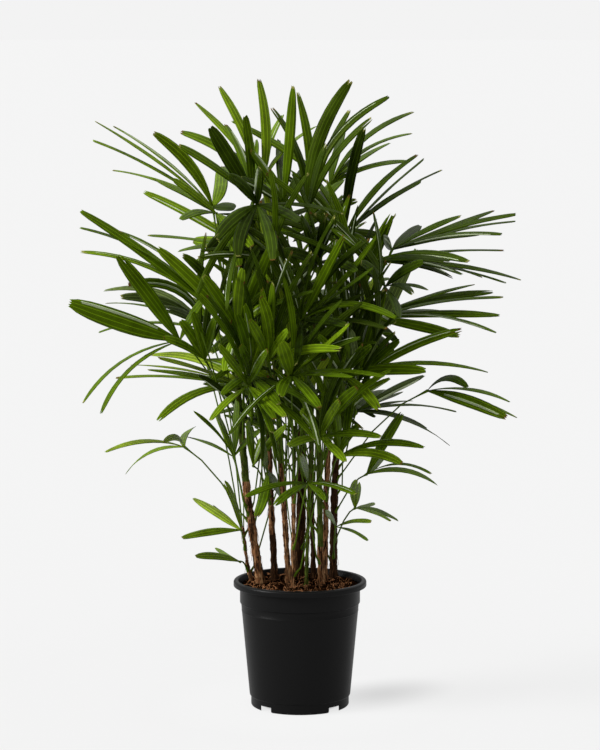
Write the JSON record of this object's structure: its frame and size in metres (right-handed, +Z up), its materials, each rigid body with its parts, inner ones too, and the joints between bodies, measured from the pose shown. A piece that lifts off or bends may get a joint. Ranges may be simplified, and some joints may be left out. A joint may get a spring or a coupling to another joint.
{
  "type": "potted lady palm",
  "caption": "Lady palm in a round nursery pot: a clump of slim fibre-covered canes with fan fronds of blunt ribbed leaflets.",
  "frame": {"origin": "middle of the pot's base, on the surface it stands on", "axes": "+Z up along the pot's axis, the plant's front facing -Y, +X to its right"},
  "size_m": [0.7977, 0.6476, 1.1293],
  "materials": {
    "pot": "satin",
    "soil": "rough coir soil",
    "cane": "fibrous bark",
    "frond": "satin leaf"
  },
  "bodies": {
    "root": {"cane_01": "cane", "cane_02": "cane", "cane_03": "cane", "cane_04": "cane", "cane_05": "cane", "cane_06": "cane", "cane_07": "cane", "cane_08": "cane", "cane_09": "cane", "cane_10": "cane", "cane_11": "cane", "frond_front_01": "frond", "frond_front_02": "frond", "frond_front_03": "frond", "frond_front_04": "frond", "frond_front_05": "frond", "frond_front_06": "frond", "frond_front_07": "frond", "frond_front_08": "frond", "frond_front_09": "frond", "frond_group_back_01": "frond", "frond_group_back_02": "frond", "frond_group_back_03": "frond", "frond_group_back_04": "frond", "frond_left_01": "frond", "frond_left_02": "frond", "frond_left_03": "frond", "frond_left_04": "frond", "frond_left_05": "frond", "frond_left_06": "frond", "frond_left_07": "frond", "frond_left_08": "frond", "frond_left_09": "frond", "frond_left_10": "frond", "frond_left_11": "frond", "frond_left_12": "frond", "frond_left_13": "frond", "frond_right_01": "frond", "frond_right_02": "frond", "frond_right_03": "frond", "frond_right_04": "frond", "frond_right_05": "frond", "frond_right_06": "frond", "frond_right_07": "frond", "frond_right_08": "frond", "frond_right_09": "frond", "frond_right_10": "frond", "frond_right_11": "frond", "frond_right_12": "frond", "frond_right_13": "frond", "frond_top_01": "frond", "frond_top_02": "frond", "frond_top_03": "frond", "frond_top_04": "frond", "frond_top_05": "frond", "frond_top_06": "frond", "frond_top_07": "frond", "frond_top_08": "frond", "pot": "pot", "soil": "soil"}
  },
  "joints": []
}
